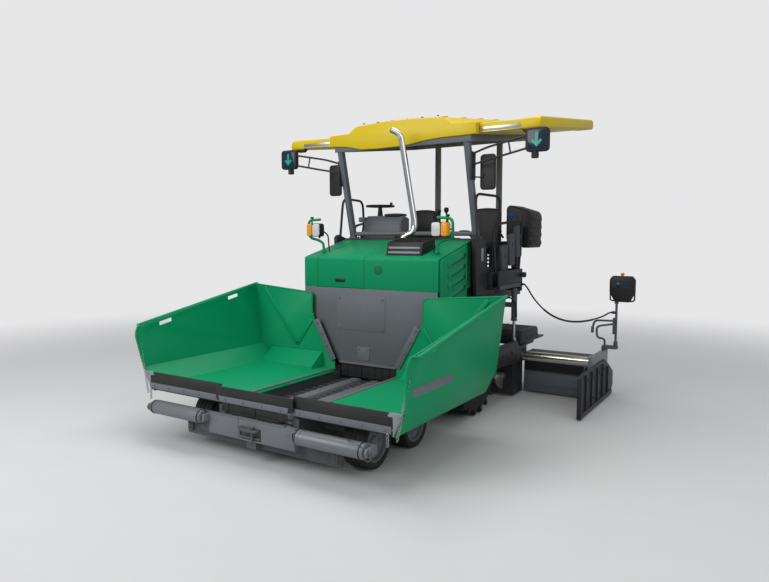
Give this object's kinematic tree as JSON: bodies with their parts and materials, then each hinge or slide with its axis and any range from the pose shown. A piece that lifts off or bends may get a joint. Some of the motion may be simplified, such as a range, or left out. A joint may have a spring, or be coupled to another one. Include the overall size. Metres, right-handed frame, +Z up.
{
  "type": "wheeled asphalt paver",
  "caption": "Wheeled road paver with a folding hopper, push rollers, conveyor tunnel, augers, roofed operator's stand and an extending screed.",
  "frame": {"origin": "on the ground under the middle of the machine's bounding box", "axes": "+Z up, +Y towards the rear of the machine (the hopper faces -Y), +X towards the machine's left side"},
  "size_m": [5.16, 5.2, 3.9554],
  "materials": {
    "green": "satin green paint, lightly dusted",
    "grey": "satin mid-grey paint",
    "dark": "satin anthracite paint",
    "yellow": "yellow moulded glass-fibre roof",
    "rubber": "matt black rubber",
    "tyre": "black tyre on a grey rim",
    "steel": "bare worn steel",
    "chrome": "polished tube",
    "black": "matt black plastic",
    "seat": "black grained upholstery",
    "cable": "black cable sheath"
  },
  "bodies": {
    "tractor": {"chassis_frame": "grey", "rear_axle": "grey", "engine_block": "dark", "conveyor_deck": "dark", "bulkhead": "grey", "apron_flap_middle": "rubber", "hood_shell": "green", "exhaust_pipe": "chrome", "headlight_left": "green", "headlight_right": "green", "platform_deck": "dark", "side_panel_left": "dark", "side_panel_right": "dark", "operator_console": "grey", "seat_left": "seat", "seat_right": "seat", "side_locker": "black", "roof_frame": "grey", "roof_shell": "yellow", "mirror_arm_left": "dark", "mirror_arm_right": "dark", "control_cable": "cable"},
    "screed": {"screed_body": "dark", "tow_arm_left": "dark", "tow_arm_right": "dark"},
    "push_beam": {"roller_beam": "grey"},
    "engine_flap": {"hood_flap": "green"},
    "steering_wheel": {"steering_wheel": "black"},
    "wing_left": {"hopper_wing_left": "green", "apron_flap_left": "rubber"},
    "rear_wheel_left": {"rear_wheel_left": "tyre"},
    "front_knuckle_left": {"front_knuckle_left": "grey"},
    "front_wheel_left": {"front_wheel_left": "tyre"},
    "second_knuckle_left": {"second_knuckle_left": "grey"},
    "second_wheel_left": {"second_wheel_left": "tyre"},
    "push_roller_left": {"push_roller_left": "steel"},
    "side_door_left": {"side_door_left": "green"},
    "auger_left": {"auger_left": "steel"},
    "lift_rod_left": {"lift_rod_left": "steel"},
    "screed_extension_left": {"screed_extension_left": "grey", "control_stand_left": "dark"},
    "end_gate_left": {"end_gate_left": "grey"},
    "roof_extension_left": {"roof_extension_left": "yellow"},
    "wing_right": {"hopper_wing_right": "green", "apron_flap_right": "rubber"},
    "rear_wheel_right": {"rear_wheel_right": "tyre"},
    "front_knuckle_right": {"front_knuckle_right": "grey"},
    "front_wheel_right": {"front_wheel_right": "tyre"},
    "second_knuckle_right": {"second_knuckle_right": "grey"},
    "second_wheel_right": {"second_wheel_right": "tyre"},
    "push_roller_right": {"push_roller_right": "steel"},
    "side_door_right": {"side_door_right": "green"},
    "auger_right": {"auger_right": "steel"},
    "lift_rod_right": {"lift_rod_right": "steel"},
    "screed_extension_right": {"screed_extension_right": "grey", "control_stand_right": "dark"},
    "end_gate_right": {"end_gate_right": "grey"},
    "roof_extension_right": {"roof_extension_right": "yellow"}
  },
  "joints": [
    {"name": "steering_wheel_turn", "type": "hinge", "parent": "tractor", "child": "steering_wheel", "pos_m": [-0.735, 0.95, 2.608], "axis": [0, 0, 1], "range_deg": [-450, 450]},
    {"name": "rear_wheel_left_spin", "type": "hinge", "parent": "tractor", "child": "rear_wheel_left", "pos_m": [0.98, 0.22, 0.64], "axis": [1, 0, 0], "continuous": true},
    {"name": "front_knuckle_left_steer", "type": "hinge", "parent": "tractor", "child": "front_knuckle_left", "pos_m": [0.815, -1.97, 0.25], "axis": [0, 0, 1], "range_deg": [-25, 25]},
    {"name": "front_wheel_left_spin", "type": "hinge", "parent": "front_knuckle_left", "child": "front_wheel_left", "pos_m": [0.99, -1.97, 0.245], "axis": [1, 0, 0], "continuous": true},
    {"name": "second_knuckle_left_steer", "type": "hinge", "parent": "tractor", "child": "second_knuckle_left", "pos_m": [0.815, -1.24, 0.25], "axis": [0, 0, 1], "range_deg": [-25, 25]},
    {"name": "second_wheel_left_spin", "type": "hinge", "parent": "second_knuckle_left", "child": "second_wheel_left", "pos_m": [0.99, -1.24, 0.245], "axis": [1, 0, 0], "continuous": true},
    {"name": "wing_left_fold", "type": "hinge", "parent": "tractor", "child": "wing_left", "pos_m": [0.43, -1.47, 0.508], "axis": [0, -1, 0], "range_deg": [0, 42]},
    {"name": "side_door_left_open", "type": "hinge", "parent": "tractor", "child": "side_door_left", "pos_m": [0.988, 0.225, 1.7], "axis": [0, 0, 1], "range_deg": [0, 90]},
    {"name": "push_roller_left_spin", "type": "hinge", "parent": "push_beam", "child": "push_roller_left", "pos_m": [0.986, -2.53, 0.372], "axis": [1, 0, 0], "continuous": true},
    {"name": "auger_left_spin", "type": "hinge", "parent": "tractor", "child": "auger_left", "pos_m": [0.61, 1.08, 0.33], "axis": [1, 0, 0], "continuous": true},
    {"name": "lift_rod_left_extend", "type": "slide", "parent": "tractor", "child": "lift_rod_left", "axis": [0, 0, 1], "range_m": [0, 0.225]},
    {"name": "screed_extension_left_extend", "type": "slide", "parent": "screed", "child": "screed_extension_left", "axis": [1, 0, 0], "range_m": [-0.75, 0.25], "deforming": ["control_cable"]},
    {"name": "end_gate_left_raise", "type": "slide", "parent": "screed_extension_left", "child": "end_gate_left", "axis": [0, 0, 1], "range_m": [0, 0.15]},
    {"name": "roof_extension_left_extend", "type": "slide", "parent": "tractor", "child": "roof_extension_left", "axis": [1, 0, 0], "range_m": [-0.52, 0]},
    {"name": "rear_wheel_right_spin", "type": "hinge", "parent": "tractor", "child": "rear_wheel_right", "pos_m": [-0.98, 0.22, 0.64], "axis": [1, 0, 0], "continuous": true},
    {"name": "front_knuckle_right_steer", "type": "hinge", "parent": "tractor", "child": "front_knuckle_right", "pos_m": [-0.815, -1.97, 0.25], "axis": [0, 0, 1], "range_deg": [-25, 25]},
    {"name": "front_wheel_right_spin", "type": "hinge", "parent": "front_knuckle_right", "child": "front_wheel_right", "pos_m": [-0.99, -1.97, 0.245], "axis": [1, 0, 0], "continuous": true},
    {"name": "second_knuckle_right_steer", "type": "hinge", "parent": "tractor", "child": "second_knuckle_right", "pos_m": [-0.815, -1.24, 0.25], "axis": [0, 0, 1], "range_deg": [-25, 25]},
    {"name": "second_wheel_right_spin", "type": "hinge", "parent": "second_knuckle_right", "child": "second_wheel_right", "pos_m": [-0.99, -1.24, 0.245], "axis": [1, 0, 0], "continuous": true},
    {"name": "wing_right_fold", "type": "hinge", "parent": "tractor", "child": "wing_right", "pos_m": [-0.43, -1.47, 0.508], "axis": [0, 1, 0], "range_deg": [0, 42]},
    {"name": "side_door_right_open", "type": "hinge", "parent": "tractor", "child": "side_door_right", "pos_m": [-0.988, 0.225, 1.7], "axis": [0, 0, -1], "range_deg": [0, 90]},
    {"name": "push_roller_right_spin", "type": "hinge", "parent": "push_beam", "child": "push_roller_right", "pos_m": [-0.986, -2.53, 0.372], "axis": [1, 0, 0], "continuous": true},
    {"name": "auger_right_spin", "type": "hinge", "parent": "tractor", "child": "auger_right", "pos_m": [-0.61, 1.08, 0.33], "axis": [1, 0, 0], "continuous": true},
    {"name": "lift_rod_right_extend", "type": "slide", "parent": "tractor", "child": "lift_rod_right", "axis": [0, 0, 1], "range_m": [0, 0.225]},
    {"name": "screed_extension_right_extend", "type": "slide", "parent": "screed", "child": "screed_extension_right", "axis": [-1, 0, 0], "range_m": [-0.75, 0.25]},
    {"name": "end_gate_right_raise", "type": "slide", "parent": "screed_extension_right", "child": "end_gate_right", "axis": [0, 0, 1], "range_m": [0, 0.15]},
    {"name": "roof_extension_right_extend", "type": "slide", "parent": "tractor", "child": "roof_extension_right", "axis": [-1, 0, 0], "range_m": [-0.52, 0]},
    {"name": "push_beam_swivel", "type": "hinge", "parent": "tractor", "child": "push_beam", "pos_m": [0, -2.4665, 0.3], "axis": [0, 0, 1], "range_deg": [-3, 3]},
    {"name": "engine_flap_open", "type": "hinge", "parent": "tractor", "child": "engine_flap", "pos_m": [-0.397, 0.3096, 2.1104], "axis": [-1, 0, 0], "range_deg": [0, 60]},
    {"name": "screed_lift", "type": "hinge", "parent": "tractor", "child": "screed", "pos_m": [0, -0.375, 0.6], "axis": [1, 0, 0], "range_deg": [0, 8]}
  ],
  "couplings": [
    {"joint": "front_knuckle_left_steer", "follows": "steering_wheel_turn", "ratio": 0.0555},
    {"joint": "second_knuckle_left_steer", "follows": "steering_wheel_turn", "ratio": 0.0555},
    {"joint": "lift_rod_left_extend", "follows": "screed_lift", "m_per_rad": 1.61},
    {"joint": "front_knuckle_right_steer", "follows": "steering_wheel_turn", "ratio": 0.0555},
    {"joint": "second_knuckle_right_steer", "follows": "steering_wheel_turn", "ratio": 0.0555},
    {"joint": "lift_rod_right_extend", "follows": "screed_lift", "m_per_rad": 1.61}
  ]
}
